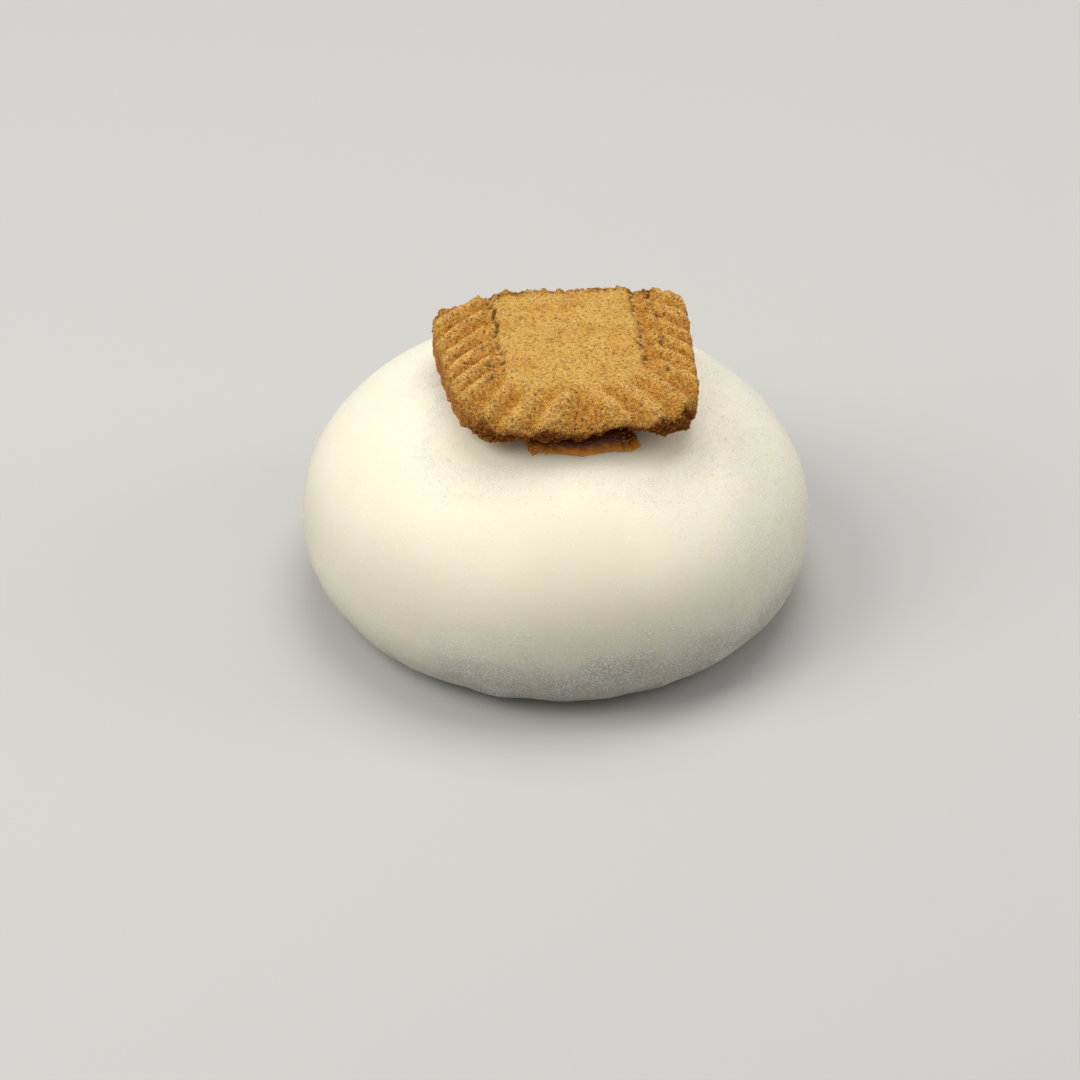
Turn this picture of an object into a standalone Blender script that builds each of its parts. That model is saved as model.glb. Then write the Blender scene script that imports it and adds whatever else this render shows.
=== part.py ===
"""A mochi rice cake with half a spiced biscuit on top, held there by a smear of caramel.

Three solids: the soft white mochi, which is slumped and rests on its own flat base, the caramel squeezed out
between the two, and the biscuit, a moulded one broken across, with its plain panel, slanting ribs and a
crumbled underside at the front. Metres, +Z up, the origin at the middle of the base, and the front is -Y.
"""

import math

import bmesh
import bpy
from mathutils import Matrix, Vector

# Mochi: a body of revolution, pinched a little out of round, with a flat spot where it sits
MOCHI_RADIUS = 0.0320
MOCHI_HEIGHT = 0.0301
EQUATOR_HEIGHT = 0.0099  # it has slumped, so it is widest well below its middle
BASE_RADIUS = 0.0240
CROWN_POWER = 2.24  # superellipse powers of the profile above and below the equator
SKIRT_POWER = 1.88
OUT_OF_ROUND = 0.022  # share of the radius, longest across the diagonal
LEAN = 0.021  # sideways shift of the crown for each unit of height
SEAT_HEIGHT = 0.0294  # the biscuit's weight has flattened the very top
SEAT_BLEND = 0.0005
MOCHI_SEGMENTS = 72
SKIRT_RINGS = 7
CROWN_RINGS = 13

# Biscuit: the end half of an oblong one, lying level and turned a little
BISCUIT_CENTRE = Vector((0.0026, -0.0012))
BISCUIT_TURN = math.radians(5.0)
BISCUIT_UNDERSIDE = 0.0306
BISCUIT_THICKNESS = 0.0052
HALF_WIDTH = 0.0155
HALF_LENGTH = 0.0141
TAPER = 0.035  # share by which it narrows to the front and widens to the break
LEFT_FLARE = 0.09  # the same for its left half
BREAK_SLANT = -0.06  # slope of the broken edge across the biscuit
CORNER_CUT = {(-1, -1): 0.18, (1, -1): 0.12, (1, 1): 0.13, (-1, 1): 0.165}  # by corner, right and back positive
EDGE_ROUNDING = 0.0013
BORDER_SLOPE = 0.0005  # how far the ribbed border falls to the rim
PANEL_HALF_WIDTH = 0.0085
PANEL_FRONT = -0.0080
PANEL_CORNER = 0.0035
PANEL_DROP = 0.0003
GROOVE_DEPTH = 0.00055
GROOVE_WIDTH = 0.00055
RIB_HEIGHT = 0.00075
RIB_WIDTH = 0.00095
SIDE_RIBS = 6
SIDE_RIB_PITCH = 0.00335
FRONT_RIBS = 3
FRONT_RIB_PITCH = 0.0044
PAD_CENTRE = Vector((-0.0008, 0.0098))  # a plain raised bar across the panel, near the break
PAD_HALF = Vector((0.0046, 0.0013))
PAD_HEIGHT = 0.0003
SHELF_DEPTH = 0.0010  # what has crumbled away from under the front rim, up to this far from the middle
SHELF_END = 0.0130
BITES = ((-0.0068, 0.0012, 0.0030), (0.0049, 0.0020, 0.0024))  # centre, depth and half width of deeper hollows
BISCUIT_COLUMNS = 46
BISCUIT_ROWS = 40
WALL_HEIGHTS = (0.72, 0.46, 0.2, 0.0)  # shares of the thickness at which the wall has a ring

# Caramel: a smear that follows the mochi below and the biscuit above, with a lip at the front
FIT_GAP = 0.0003
CARAMEL_CENTRE = Vector((0.0035, -0.0020))
CARAMEL_HALF_WIDTH = 0.0072
CARAMEL_HALF_LENGTH = 0.0117
CARAMEL_POWER = 3.4
CARAMEL_LIP = 0.0009  # how thick its free edge is
CARAMEL_RUFFLE = 0.0003
CARAMEL_SEGMENTS = 56
CARAMEL_RINGS = 5


def smooth_step(value):
    """0 below 0, 1 above 1, and a smooth rise between."""
    value = min(1.0, max(0.0, value))
    return value * value * (3.0 - 2.0 * value)


def material(name, colour, roughness):
    """A food has no metal, so a Principled BSDF needs only its colour and how dull it is."""
    made = bpy.data.materials.new(name)
    made.use_nodes = True
    shader = made.node_tree.nodes["Principled BSDF"]
    shader.inputs["Base Color"].default_value = (*colour, 1.0)
    shader.inputs["Roughness"].default_value = roughness
    made.diffuse_color = (*colour, 1.0)
    return made


def finish(name, mesh_data, finish_material):
    """Closes off a bmesh as a named, smooth-shaded object whose faces point outwards."""
    bmesh.ops.recalc_face_normals(mesh_data, faces=mesh_data.faces)
    mesh = bpy.data.meshes.new(name)
    mesh_data.to_mesh(mesh)
    mesh_data.free()
    mesh.shade_smooth()
    mesh.set_sharp_from_angle(angle=math.radians(50.0))
    mesh.materials.append(finish_material)
    made = bpy.data.objects.new(name, mesh)
    bpy.context.scene.collection.objects.link(made)
    return made


def loft(rings):
    """A closed bmesh through rings of equal length, with a flat polygon across each end."""
    made = bmesh.new()
    loops = [[made.verts.new(point) for point in ring] for ring in rings]
    for lower, upper in zip(loops, loops[1:]):
        for i in range(len(lower)):
            made.faces.new((lower[i - 1], lower[i], upper[i], upper[i - 1]))
    made.faces.new(loops[0])
    made.faces.new(loops[-1])
    return made


# --- Mochi ---------------------------------------------------------------------------------------------------


def mochi_profile():
    """(radius, height) pairs from the rim of the base up to near the crown, as two superellipse quarters."""
    pairs = []
    for i in range(SKIRT_RINGS):
        turn = 0.5 * math.pi * i / SKIRT_RINGS
        out = math.sin(turn) ** (2.0 / SKIRT_POWER)
        down = math.cos(turn) ** (2.0 / SKIRT_POWER)
        pairs.append((BASE_RADIUS + (MOCHI_RADIUS - BASE_RADIUS) * out, EQUATOR_HEIGHT * (1.0 - down)))
    for i in range(CROWN_RINGS):
        turn = 0.5 * math.pi * i / CROWN_RINGS
        out = math.cos(turn) ** (2.0 / CROWN_POWER)
        up = math.sin(turn) ** (2.0 / CROWN_POWER)
        pairs.append((MOCHI_RADIUS * out, EQUATOR_HEIGHT + (MOCHI_HEIGHT - EQUATOR_HEIGHT) * up))
    return pairs


def seated(height):
    """The height with the flattened seat cut into it, blended in softly."""
    blend = max(SEAT_BLEND - abs(height - SEAT_HEIGHT), 0.0)
    return min(height, SEAT_HEIGHT) - blend * blend / (4.0 * SEAT_BLEND)


def plan_stretch(angle):
    """How far out of round the mochi is in that direction."""
    return 1.0 - OUT_OF_ROUND * math.sin(2.0 * angle)


def mochi_top(x, y):
    """Height of the mochi's upper surface over a point of the plan, for what lies on it."""
    x -= LEAN * (MOCHI_HEIGHT - EQUATOR_HEIGHT)
    reach = math.hypot(x, y) / (MOCHI_RADIUS * plan_stretch(math.atan2(y, x)))
    rise = (1.0 - reach**CROWN_POWER) ** (1.0 / CROWN_POWER)
    return seated(EQUATOR_HEIGHT + (MOCHI_HEIGHT - EQUATOR_HEIGHT) * rise)


def build_mochi():
    rings = []
    for radius, height in mochi_profile():
        shift = LEAN * max(0.0, height - EQUATOR_HEIGHT)
        ring = []
        for i in range(MOCHI_SEGMENTS):
            angle = 2.0 * math.pi * i / MOCHI_SEGMENTS
            reach = radius * plan_stretch(angle)
            ring.append(Vector((shift + reach * math.cos(angle), reach * math.sin(angle), seated(height))))
        rings.append(ring)
    return finish("mochi", loft(rings), material("rice_dough", (0.90, 0.86, 0.74), 0.55))


# --- Biscuit -------------------------------------------------------------------------------------------------


def biscuit_plan(across, along):
    """Where a point of the square -1 to 1 lies in the biscuit's own plan: a tapered oblong with round corners."""
    corner = (1 if across > 0 else -1, 1 if along > 0 else -1)
    cut = CORNER_CUT[corner]
    power = 0.96 / cut  # so that the rounding leaves each side without a kink
    flare = LEFT_FLARE if across < 0.0 else TAPER
    x = HALF_WIDTH * across * (1.0 - cut * abs(along) ** power) * (1.0 + flare * along)
    y = HALF_LENGTH * along * (1.0 - cut * abs(across) ** power)
    if along > 0.0:
        y += BREAK_SLANT * x * along
    return x, y


def panel_distance(x, y):
    """Distance outside the plain panel's rounded edge, negative inside. The break cuts the panel off at the back."""
    dx = abs(x) - PANEL_HALF_WIDTH + PANEL_CORNER
    dy = PANEL_FRONT + PANEL_CORNER - y
    return math.hypot(max(dx, 0.0), max(dy, 0.0)) + min(max(dx, dy), 0.0) - PANEL_CORNER


def rib_lines():
    """((x, y), (x, y)) for the crest of each rib, outer end first. All lean inwards and towards the break."""
    lines = []
    for side in (-1.0, 1.0):
        for i in range(SIDE_RIBS):
            start = Vector((side * 0.0142, 0.0082 - SIDE_RIB_PITCH * i))
            lines.append((start, start + Vector((-side * 0.0044, 0.0034))))
        for i in range(FRONT_RIBS):
            start = Vector((side * (FRONT_RIB_PITCH * (i + 1) - 0.0002), -0.0126))
            lines.append((start, start + Vector((-side * 0.0034, 0.0050))))
    return lines


RIBS = rib_lines()


def rib_relief(x, y):
    """Height of the ribs over the border: each is a soft ridge along its line."""
    relief = 0.0
    for start, end in RIBS:
        run = end - start
        share = min(1.0, max(0.0, (Vector((x, y)) - start).dot(run) / run.length_squared))
        off = (Vector((x, y)) - start - share * run).length
        relief = max(relief, RIB_HEIGHT * math.exp(-((off / RIB_WIDTH) ** 2)))
    return relief


def biscuit_top(x, y, across, along):
    """Height of the biscuit's upper side above its underside. Only the moulded edges are rounded, not the break."""
    to_side = HALF_WIDTH * (1.0 - abs(across))
    to_end = HALF_LENGTH * (1.0 - abs(along))
    to_rim = min(to_side, to_end)
    height = BISCUIT_THICKNESS - RIB_HEIGHT
    outside = panel_distance(x, y)
    border = smooth_step(outside / 0.0012)
    to_border_rim = to_side if along > 0.0 else to_rim
    height -= border * BORDER_SLOPE * (1.0 - smooth_step(to_border_rim / 0.005))
    height += border * rib_relief(x, y)
    height += (1.0 - border) * (RIB_HEIGHT - PANEL_DROP)
    height -= GROOVE_DEPTH * math.exp(-((outside / GROOVE_WIDTH) ** 2))
    pad_x = smooth_step((PAD_HALF.x - abs(x - PAD_CENTRE.x)) / 0.001)
    pad_y = smooth_step((PAD_HALF.y - abs(y - PAD_CENTRE.y)) / 0.001)
    height += PAD_HEIGHT * pad_x * pad_y
    bevel = max(0.0, 1.0 - to_border_rim / EDGE_ROUNDING)
    return height - EDGE_ROUNDING * (1.0 - math.sqrt(1.0 - 0.94 * bevel * bevel))


def undercut(x, y, share):
    """How far the wall is set back at a share of its height: most at the bottom, and only along the front."""
    at_front = smooth_step((-y - 0.0065) / 0.003)
    hollow = 0.0004 + SHELF_DEPTH * smooth_step((SHELF_END - abs(x)) / 0.004)
    for centre, depth, half_width in BITES:
        hollow += depth * math.exp(-(((x - centre) / half_width) ** 2))
    low = 1.0 - smooth_step(share / 0.8)
    return at_front * low * hollow


def build_biscuit():
    made = bmesh.new()
    bmesh.ops.create_grid(made, x_segments=BISCUIT_COLUMNS, y_segments=BISCUIT_ROWS, size=1.0)
    for vertex in made.verts:
        across, along = vertex.co.x, vertex.co.y
        x, y = biscuit_plan(across, along)
        vertex.co = Vector((x, y, biscuit_top(x, y, across, along)))
    rim = [edge for edge in made.edges if edge.is_boundary]
    share_above = 1.0
    for share in WALL_HEIGHTS:
        lowered = bmesh.ops.extrude_edge_only(made, edges=rim)["geom"]
        rim = [part for part in lowered if isinstance(part, bmesh.types.BMEdge) and part.is_boundary]
        for vertex in {vertex for edge in rim for vertex in edge.verts}:
            x, y, z = vertex.co
            step_in = undercut(x, y, share) - undercut(x, y, share_above)
            vertex.co = Vector((x, y + step_in, z * share / share_above))
        share_above = share
    bmesh.ops.contextual_create(made, geom=rim)
    turn = Matrix.Rotation(BISCUIT_TURN, 4, "Z")
    place = Matrix.Translation((*BISCUIT_CENTRE, BISCUIT_UNDERSIDE)) @ turn
    biscuit = finish("biscuit", made, material("spiced_biscuit", (0.42, 0.22, 0.06), 0.85))
    biscuit.matrix_world = place
    return biscuit


# --- Caramel -------------------------------------------------------------------------------------------------


def caramel_outline(angle):
    """A point of the smear's edge: a squared-off oval with a slightly ruffled edge."""
    c, s = math.cos(angle), math.sin(angle)
    power = 2.0 / CARAMEL_POWER
    x = CARAMEL_HALF_WIDTH * math.copysign(abs(c) ** power, c)
    y = CARAMEL_HALF_LENGTH * math.copysign(abs(s) ** power, s)
    y += CARAMEL_RUFFLE * math.sin(5.0 * angle + 0.6) + 0.08 * x
    return CARAMEL_CENTRE + Vector((x, y))


def build_caramel():
    ceiling = BISCUIT_UNDERSIDE - FIT_GAP
    outline = [caramel_outline(2.0 * math.pi * i / CARAMEL_SEGMENTS) for i in range(CARAMEL_SEGMENTS)]

    def ring(share, upper):
        points = []
        for edge in outline:
            x, y = CARAMEL_CENTRE.lerp(edge, share)
            floor = mochi_top(x, y) + FIT_GAP
            lip = CARAMEL_LIP + (ceiling - floor) * (1.0 - smooth_step((share - 0.6) / 0.4))
            roof = max(floor + 0.0003, min(ceiling, floor + lip))
            points.append(Vector((x, y, roof if upper else floor)))
        return points

    shares = [0.25 + 0.72 * i / (CARAMEL_RINGS - 2) for i in range(CARAMEL_RINGS - 1)]
    below = [ring(share, upper=False) for share in shares]
    bulge = ring(1.0, upper=False)
    for point in bulge:
        point.z += 0.4 * CARAMEL_LIP
    above = [ring(share, upper=True) for share in reversed(shares)]
    return finish("caramel", loft([*below, bulge, *above]), material("caramel", (0.36, 0.11, 0.015), 0.25))


def main():
    for leftover in list(bpy.data.objects):
        bpy.data.objects.remove(leftover)
    mochi = build_mochi()
    build_biscuit().parent = mochi
    build_caramel().parent = mochi


main()
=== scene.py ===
"""A mochi rice cake with half a spiced biscuit stuck on its top by caramel: its skin, crumb, dust and glaze.

Every surface is a function of two parameters, worked out for whole arrays at once. Sizes are in metres.
"""

import math

import bpy
import numpy as np
from bpy.props import FloatProperty, FloatVectorProperty, IntProperty, PointerProperty
from mathutils import Matrix, Vector


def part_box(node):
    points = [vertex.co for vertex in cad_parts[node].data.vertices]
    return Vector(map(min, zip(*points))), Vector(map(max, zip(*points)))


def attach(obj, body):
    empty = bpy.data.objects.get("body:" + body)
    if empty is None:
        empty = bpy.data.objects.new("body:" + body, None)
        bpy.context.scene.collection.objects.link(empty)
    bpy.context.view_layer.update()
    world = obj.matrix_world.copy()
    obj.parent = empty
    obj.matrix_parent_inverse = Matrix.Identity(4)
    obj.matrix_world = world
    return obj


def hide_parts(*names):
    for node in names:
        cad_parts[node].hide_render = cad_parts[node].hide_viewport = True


bl_info = {
    "name": "Mochi Rice Cake",
    "version": (1, 0, 0),
    "blender": (4, 5, 0),
    "location": "3D View > Sidebar > Mochi",
    "description": "Builds a starch-dusted mochi with half a spiced biscuit and caramel on top",
    "category": "Add Mesh",
}

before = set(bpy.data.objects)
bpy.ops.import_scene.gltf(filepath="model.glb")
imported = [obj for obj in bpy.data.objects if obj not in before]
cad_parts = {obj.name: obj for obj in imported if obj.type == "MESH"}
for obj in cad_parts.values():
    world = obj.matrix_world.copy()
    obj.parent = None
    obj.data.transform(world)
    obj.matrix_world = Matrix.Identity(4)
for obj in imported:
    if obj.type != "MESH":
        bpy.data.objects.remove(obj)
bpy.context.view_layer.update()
MOCHI_LOW, MOCHI_HIGH = (Vector(corner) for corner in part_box("mochi"))
BISCUIT_LOW, BISCUIT_HIGH = (Vector(corner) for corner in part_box("biscuit"))
CARAMEL_LOW, CARAMEL_HIGH = (Vector(corner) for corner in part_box("caramel"))
MM = 0.001


# --- Numbers --------------------------------------------------------------------------------------


def linear(code):
    """Linear red, green and blue of an sRGB hex code."""
    parts = np.array([int(code[i : i + 2], 16) / 255.0 for i in (1, 3, 5)])
    return tuple(np.where(parts <= 0.04045, parts / 12.92, ((parts + 0.055) / 1.055) ** 2.4).tolist())


def smooth(low, high, value):
    """0 up to low, 1 from high, and 3t^2 - 2t^3 between, where t is the share of the way. Low may exceed high."""
    share = np.clip((value - low) / (high - low), 0.0, 1.0)
    return share * share * (3.0 - 2.0 * share)


def hashed(cell, seed):
    """A random number from 0 to 1 for each row of three whole numbers, always the same for the same row."""
    with np.errstate(over="ignore"):
        x, y, z = (cell[..., i].astype(np.int64).astype(np.uint32) for i in range(3))
        mixed = x * np.uint32(374761393) + y * np.uint32(668265263) + z * np.uint32(2246822519)
        mixed = mixed + np.uint32(seed % 65536) * np.uint32(3266489917)
        mixed = (mixed ^ (mixed >> np.uint32(15))) * np.uint32(2246822519)
        mixed = (mixed ^ (mixed >> np.uint32(13))) * np.uint32(3266489917)
        mixed = mixed ^ (mixed >> np.uint32(16))
    return mixed.astype(np.float64) / 4294967295.0


def noise(points, size, seed, octaves=1):
    """Smooth noise from about -1 to 1: random values on a lattice of that size, blended across each cell.

    Each further octave is half the size and half as strong.
    """
    total = np.zeros(points.shape[:-1])
    strength = 1.0
    for octave in range(octaves):
        scaled = points / (size / 2**octave)
        low = np.floor(scaled)
        share = scaled - low
        share = share * share * (3.0 - 2.0 * share)
        for corner in np.ndindex(2, 2, 2):
            weight = np.prod(np.where(np.array(corner) == 1, share, 1.0 - share), axis=-1)
            total += strength * weight * (2.0 * hashed(low + np.array(corner), seed + 17 * octave) - 1.0)
        strength *= 0.5
    return total


def grains(points, size, seed):
    """Distance to the nearest of one random point per lattice cell, in cells, and that point's random number."""
    scaled = points / size
    low = np.floor(scaled)
    nearest = np.full(points.shape[:-1], 9.0)
    chosen = np.zeros(points.shape[:-1])
    for step in np.ndindex(3, 3, 3):
        cell = low + np.array(step) - 1.0
        jitter = np.stack([hashed(cell, seed + i) for i in range(3)], axis=-1)
        away = np.linalg.norm(cell + jitter - scaled, axis=-1)
        closer = away < nearest
        nearest = np.where(closer, away, nearest)
        chosen = np.where(closer, hashed(cell, seed + 7), chosen)
    return nearest, chosen


def normals_of(grid, wrap):
    """Unit normals of a grid of points, from the cross product of its two tangents. wrap closes the columns."""
    along = np.gradient(grid, axis=0)
    if wrap:
        across = 0.5 * (np.roll(grid, -1, axis=1) - np.roll(grid, 1, axis=1))
    else:
        across = np.gradient(grid, axis=1)
    normal = np.cross(across, along)
    return normal / np.maximum(np.linalg.norm(normal, axis=-1, keepdims=True), 1e-12)


# --- Meshes and materials -------------------------------------------------------------------------


def add_piece(name, points, faces, material, node_name=None, fields=None):
    """Makes a smooth-shaded piece from arrays of points and faces, with float fields on its points."""
    mesh = bpy.data.meshes.new(name)
    mesh.from_pydata(points.tolist(), [], faces if isinstance(faces, list) else faces.tolist())
    for title, values in (fields or {}).items():
        layer = mesh.attributes.new(title, "FLOAT", "POINT")
        layer.data.foreach_set("value", np.ascontiguousarray(values, dtype=np.float32).ravel())
    mesh.materials.append(material)
    mesh.shade_smooth()
    mesh.validate()
    mesh.update()
    piece = bpy.data.objects.new(name, mesh)
    bpy.context.scene.collection.objects.link(piece)
    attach(piece, "root")
    if node_name:
        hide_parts(node_name)
    return piece


def round_faces(rows, columns):
    """Quads of a grid whose columns close on themselves, for points listed row by row."""
    row, column = np.meshgrid(np.arange(rows - 1), np.arange(columns), indexing="ij")
    following = (column + 1) % columns
    start = row * columns
    next_start = start + columns
    quads = np.stack([start + column, start + following, next_start + following, next_start + column], -1)
    return quads.reshape(-1, 4)


def sheet_faces(rows, columns):
    """Quads of an open grid, for points listed row by row."""
    row, column = np.meshgrid(np.arange(rows - 1), np.arange(columns - 1), indexing="ij")
    start = row * columns + column
    return np.stack([start, start + 1, start + columns + 1, start + columns], -1).reshape(-1, 4)


def scattered(shape, faces, places, facings, sizes, turns):
    """One mesh of many small copies of a shape: each is turned to its facing, scaled, and set at its place.

    shape is (copies, corners, 3), so that each copy can differ, and turns spins each about its facing.
    """
    helper = np.where(np.abs(facings[:, 2:]) < 0.9, [[0.0, 0.0, 1.0]], [[1.0, 0.0, 0.0]])
    side = np.cross(helper, facings)
    side /= np.linalg.norm(side, axis=1, keepdims=True)
    other = np.cross(facings, side)
    first = side * np.cos(turns)[:, None] + other * np.sin(turns)[:, None]
    second = np.cross(facings, first)
    basis = np.stack([first, second, facings], axis=1)
    placed = np.einsum("nij,njk->nik", shape * sizes[:, None, :], basis) + places[:, None, :]
    offsets = np.arange(len(places))[:, None, None] * shape.shape[1]
    return placed.reshape(-1, 3), (faces[None] + offsets).reshape(-1, faces.shape[1])


def new_material(name, **sockets):
    """A Principled material with these sockets set, and its node tree and shader."""
    made = bpy.data.materials.new(name)
    made.use_nodes = True
    shader = made.node_tree.nodes["Principled BSDF"]
    for socket, value in sockets.items():
        shader.inputs[socket.replace("_", " ")].default_value = value
    return made, made.node_tree, shader


def add_node(tree, kind, inputs=None, **settings):
    """Adds a node, with its settings, and with each input either set to a value or linked to a socket."""
    made = tree.nodes.new(kind)
    for name, value in settings.items():
        setattr(made, name, value)
    for socket, value in (inputs or {}).items():
        if isinstance(value, bpy.types.NodeSocket):
            tree.links.new(value, made.inputs[socket])
        else:
            made.inputs[socket].default_value = value
    return made


def tinted(tree, first, layers):
    """A colour under a list of tints: each is what chooses it, where that starts, where it is full, how strong it
    then is, and its hex code or colour. Returns the last mix's output, which is output 2 of a Mix node."""
    tone = (*first, 1.0)
    for chooser, low, high, strength, code in layers:
        span = {"Value": chooser, "From Min": low, "From Max": high, "To Max": strength}
        share = add_node(tree, "ShaderNodeMapRange", span, interpolation_type="SMOOTHSTEP").outputs["Result"]
        over = (*(linear(code) if isinstance(code, str) else code), 1.0)
        tone = add_node(tree, "ShaderNodeMix", {0: share, 6: tone, 7: over}, data_type="RGBA").outputs[2]
    return tone


# --- Sizes and colours that a user would change ---------------------------------------------------


def length(name, description, default):
    """A length in metres that the user can change."""
    return FloatProperty(
        name=name, description=description, default=default, min=0.0, unit="LENGTH", precision=5
    )


def colour(name, description, code):
    """A colour that the user can change, given as an sRGB hex code."""
    return FloatVectorProperty(
        name=name, description=description, default=linear(code), min=0.0, max=1.0, size=3, subtype="COLOR"
    )


class MochiSettings(bpy.types.PropertyGroup):
    radius: length("Radius", "Radius at its widest", 0.5 * (MOCHI_HIGH.x - MOCHI_LOW.x))
    height: length("Height", "Height of the crown before the biscuit flattened it", 30.1 * MM)
    seat: length("Seat height", "Height of the flattened crown", MOCHI_HIGH.z - MOCHI_LOW.z)
    equator: length("Equator height", "Height at which it is widest", 9.9 * MM)
    foot: length("Foot radius", "Radius of the flat it rests on", 24.0 * MM)
    dough: colour("Dough", "Steamed rice dough", "#F5EED6")
    # The moist dough's darker colour is partly its own and partly painted shade between the lit grains of starch.
    damp_and_grain_shade: colour("Damp dough", "Dough that shows between grains of starch", "#CBC6B1")
    dust: colour("Starch", "Dry potato starch", "#FCFAF2")
    fine_starch: IntProperty(name="Fine starch", description="Number of fine grains", default=40000, min=0)
    clumps: IntProperty(name="Starch clumps", description="Number of clumped grains", default=24000, min=0)


class BiscuitSettings(bpy.types.PropertyGroup):
    half_width: length("Half width", "Half of the whole biscuit's width", 15.5 * MM)
    half_length: length("Half length", "Half of the broken piece's length", 14.1 * MM)
    thickness: length("Thickness", "From the underside to the ribs' crests", BISCUIT_HIGH.z - BISCUIT_LOW.z)
    turn: FloatProperty(
        name="Turn", description="How far it lies turned", default=math.radians(5.0), subtype="ANGLE"
    )
    panel: colour("Panel", "The smooth pale middle", "#CFA556")
    border: colour("Border", "The browner ribbed border", "#D59C40")
    crumb: colour("Broken crumb", "Inside of the crumb, where it is broken", "#9E5412")
    baked: colour("Baked side", "The redder side wall that met the mould", "#C47A40")
    grains: IntProperty(name="Grains", description="Number of grains on the crumb", default=23000, min=0)
    crumbs: IntProperty(name="Crumbs", description="Number of loose crumbs", default=3600, min=0)
    sugar: IntProperty(name="Sugar grains", description="Number of golden sugar grains", default=1500, min=0)


class CaramelSettings(bpy.types.PropertyGroup):
    thin: colour("Thin caramel", "Amber at the thin edge", "#E88E20")
    thick: colour("Thick caramel", "Brown where it is deep", "#5C2606")


class StageSettings(bpy.types.PropertyGroup):
    floor: colour("Floor", "Plain pale floor", "#C4C2BE")
    key_power: FloatProperty(name="Key", description="Watts of the lamp at the left", default=2.2, min=0.0)
    top_power: FloatProperty(name="Top", description="Watts of the lamp overhead", default=1.8, min=0.0)
    fill_power: FloatProperty(name="Fill", description="Watts of the lamp at the right", default=0.75, min=0.0)


OCTAHEDRON = np.array([[1, 0, 0], [0, 1, 0], [-1, 0, 0], [0, -1, 0], [0, 0, 1], [0, 0, -1]], dtype=float)
OCTAHEDRON_FACES = np.array(
    [[0, 1, 4], [1, 2, 4], [2, 3, 4], [3, 0, 4], [1, 0, 5], [2, 1, 5], [3, 2, 5], [0, 3, 5]]
)
TETRAHEDRON = np.array([[1, 1, 1], [-1, -1, 1], [-1, 1, -1], [1, -1, -1]]) / math.sqrt(3.0)
TETRAHEDRON_FACES = np.array([[0, 2, 1], [0, 1, 3], [0, 3, 2], [1, 2, 3]])


# --- Mochi ----------------------------------------------------------------------------------------

CROWN_POWER = 2.24
SKIRT_POWER = 1.88
OUT_OF_ROUND = 0.022  # share by which the plan is longer along one diagonal
LEAN = 0.021  # sideways run of the crown for each unit of height over the equator
SEAT_BLEND = 0.5 * MM
MOCHI_COLUMNS = 360
MOCHI_ROWS = 190
RING_MIDDLE = (2.4 * MM, -1.4 * MM)  # of the oblong under the biscuit that the ring of starch goes round
RING_HALF = (10 * MM, 9 * MM)
STARCH_CELL = 0.21 * MM


def seated(height, seat):
    """The lesser of the height and the seat, blended over a short way, as the biscuit's weight has pressed it."""
    blend = np.maximum(SEAT_BLEND - np.abs(height - seat), 0.0)
    return np.minimum(height, seat) - blend * blend / (4.0 * SEAT_BLEND)


def mochi_point(angle, share, sizes):
    """Points of the smooth body, where share runs from 0 at the foot, past 0.5 at the equator, to 1 at the crown.

    Both quarters are superellipses: out is the sine and up is one less the cosine, raised to 2 over the power,
    and the same the other way round above the equator.
    """
    turn = math.pi * share
    skirt = share < 0.5
    down = np.abs(np.cos(turn)) ** (2.0 / SKIRT_POWER)
    out = np.sin(turn) ** (2.0 / SKIRT_POWER)
    low_radius = sizes.foot + (sizes.radius - sizes.foot) * out
    low_height = sizes.equator * (1.0 - down)
    high_radius = sizes.radius * np.abs(np.sin(turn)) ** (2.0 / CROWN_POWER)
    high_height = sizes.equator + (sizes.height - sizes.equator) * np.abs(np.cos(turn)) ** (2.0 / CROWN_POWER)
    radius = np.where(skirt, low_radius, high_radius) * (1.0 - OUT_OF_ROUND * np.sin(2.0 * angle))
    height = np.where(skirt, low_height, high_height)
    shift = LEAN * np.maximum(0.0, height - sizes.equator)
    x = radius * np.cos(angle) + shift
    y = radius * np.sin(angle)
    return np.stack([x, y, seated(height, sizes.seat)], axis=-1)


def mochi_top(x, y, sizes):
    """Height of the body's upper side over points of the plan."""
    x = x - LEAN * (sizes.height - sizes.equator)
    reach = np.hypot(x, y) / (sizes.radius * (1.0 - OUT_OF_ROUND * np.sin(2.0 * np.arctan2(y, x))))
    rise = (1.0 - np.minimum(reach, 1.0) ** CROWN_POWER) ** (1.0 / CROWN_POWER)
    return seated(sizes.equator + (sizes.height - sizes.equator) * rise, sizes.seat)


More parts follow.
